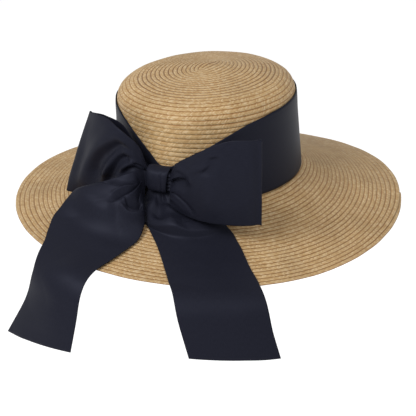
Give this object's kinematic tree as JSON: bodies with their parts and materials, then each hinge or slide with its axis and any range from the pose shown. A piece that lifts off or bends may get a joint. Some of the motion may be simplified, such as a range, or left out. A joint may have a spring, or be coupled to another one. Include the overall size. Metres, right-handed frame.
{
  "type": "straw boater hat with a ribbon bow",
  "caption": "Straw boater with a flat crown and a wide drooping brim, and a broad satin ribbon round the crown tied in front in a bow with long hanging tails.",
  "frame": {"origin": "centre of the head opening, level with the seam where the crown meets the brim; the seat of the head", "axes": "-Z faces down to the head, -Y is the front where the bow is tied, +X is the right-hand side seen from the front"},
  "size_m": [0.379, 0.4433, 0.2157],
  "materials": {
    "straw": "sewn straw plait, dull with a slight gloss on each straw",
    "satin": "dark navy satin ribbon with a soft sheen"
  },
  "bodies": {
    "root": {"crown": "straw", "brim": "straw", "band": "satin", "knot": "satin", "loop_left": "satin", "loop_right": "satin", "tail_left": "satin", "tail_right": "satin"}
  },
  "joints": []
}
